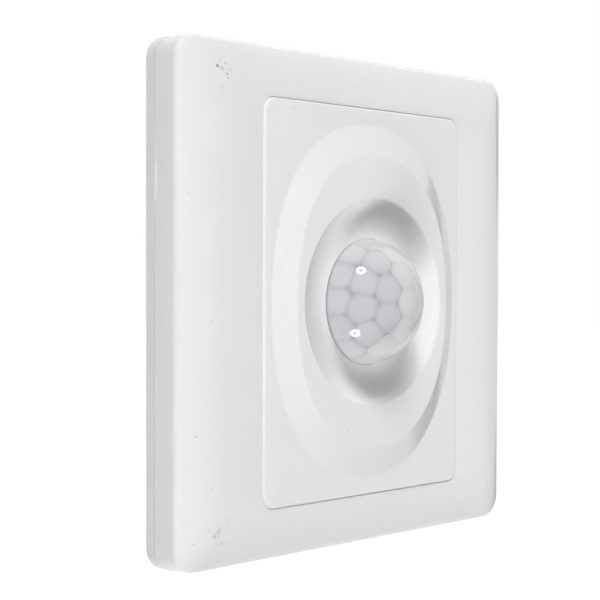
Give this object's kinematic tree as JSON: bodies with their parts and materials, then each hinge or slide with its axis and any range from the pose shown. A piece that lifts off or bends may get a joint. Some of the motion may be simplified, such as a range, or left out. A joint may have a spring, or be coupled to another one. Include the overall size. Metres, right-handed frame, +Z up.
{
  "type": "motion sensor light switch",
  "caption": "Square wall-mounted motion sensor light switch with a clip-on frame, an oval-mounded sensor panel, a domed Fresnel lens and a rear housing with screw terminals.",
  "frame": {"origin": "middle of the wall face of the mounting plate, between the two wall screws", "axes": "+X to the right seen from the front, +Y into the wall, +Z up; the front looks along -Y"},
  "size_m": [0.086, 0.0363, 0.086],
  "materials": {
    "cover_white": "glossy white moulding",
    "plate_white": "satin white moulding",
    "panel_white": "glossy white moulding",
    "lens_milky": "milky polyethylene, smooth outside",
    "holder_black": "matt black moulding",
    "board_green": "solder-masked laminate",
    "can_metal": "plated steel can",
    "filter_glass": "dark infrared filter",
    "cell_amber": "resin-coated disc",
    "chip_black": "matt moulding compound",
    "capacitor_can": "bright aluminium can",
    "pin_gold": "plated pins",
    "relay_blue": "smooth moulded case",
    "film_yellow": "smooth moulded case",
    "sleeve_black": "shrink sleeve",
    "fuse_brown": "moulded case",
    "varistor_blue": "resin-coated disc",
    "terminal_green": "satin moulding",
    "contact_brass": "bright brass",
    "screw_steel": "zinc-plated steel",
    "trimmer_blue": "satin moulding",
    "rotor_white": "satin moulding",
    "housing_white": "satin white moulding"
  },
  "bodies": {
    "base": {"mounting_plate": "plate_white", "sensor_panel": "panel_white", "fresnel_lens": "lens_milky", "lens_holder": "holder_black", "sensor_board": "board_green", "pir_spacer": "holder_black", "pir_can": "can_metal", "pir_window": "filter_glass", "photocell": "cell_amber", "control_chip": "chip_black", "timing_capacitors": "capacitor_can", "chip_resistors": "chip_black", "board_header": "pin_gold", "power_board": "board_green", "relay": "relay_blue", "film_capacitor": "film_yellow", "smoothing_capacitor": "sleeve_black", "rectifier": "chip_black", "fuse": "fuse_brown", "varistor": "varistor_blue", "terminal_block": "terminal_green", "terminal_contacts": "contact_brass", "time_trimmer": "trimmer_blue", "lux_trimmer": "trimmer_blue", "board_screws": "screw_steel", "rear_housing": "housing_white", "housing_screws": "screw_steel"},
    "cover": {"cover_frame": "cover_white"},
    "time_dial": {"time_rotor": "rotor_white"},
    "lux_dial": {"lux_rotor": "rotor_white"},
    "screw_left": {"terminal_screw_left": "screw_steel"},
    "screw_middle": {"terminal_screw_middle": "screw_steel"},
    "screw_right": {"terminal_screw_right": "screw_steel"},
    "cage_left": {"terminal_cage_left": "contact_brass"},
    "cage_middle": {"terminal_cage_middle": "contact_brass"},
    "cage_right": {"terminal_cage_right": "contact_brass"}
  },
  "joints": [
    {"name": "cover_pull", "type": "slide", "parent": "base", "child": "cover", "axis": [0, -1, 0], "range_m": [0, 0.025]},
    {"name": "time_turn", "type": "hinge", "parent": "base", "child": "time_dial", "pos_m": [-0.009, 0.0088, 0.016], "axis": [0, 1, 0], "range_deg": [-105, 105]},
    {"name": "lux_turn", "type": "hinge", "parent": "base", "child": "lux_dial", "pos_m": [0.009, 0.0088, 0.016], "axis": [0, 1, 0], "range_deg": [-105, 105]},
    {"name": "screw_left_turn", "type": "hinge", "parent": "base", "child": "screw_left", "pos_m": [-0.0076, 0.0143, -0.0204], "axis": [0, -1, 0], "range_deg": [0, 1296]},
    {"name": "cage_left_rise", "type": "slide", "parent": "base", "child": "cage_left", "axis": [0, 1, 0], "range_m": [0, 0.0018]},
    {"name": "screw_middle_turn", "type": "hinge", "parent": "base", "child": "screw_middle", "pos_m": [0, 0.0143, -0.0204], "axis": [0, -1, 0], "range_deg": [0, 1296]},
    {"name": "cage_middle_rise", "type": "slide", "parent": "base", "child": "cage_middle", "axis": [0, 1, 0], "range_m": [0, 0.0018]},
    {"name": "screw_right_turn", "type": "hinge", "parent": "base", "child": "screw_right", "pos_m": [0.0076, 0.0143, -0.0204], "axis": [0, -1, 0], "range_deg": [0, 1296]},
    {"name": "cage_right_rise", "type": "slide", "parent": "base", "child": "cage_right", "axis": [0, 1, 0], "range_m": [0, 0.0018]}
  ],
  "couplings": [
    {"joint": "screw_left_turn", "follows": "cage_left_rise", "rad_per_m": 12566},
    {"joint": "screw_middle_turn", "follows": "cage_middle_rise", "rad_per_m": 12566},
    {"joint": "screw_right_turn", "follows": "cage_right_rise", "rad_per_m": 12566}
  ]
}
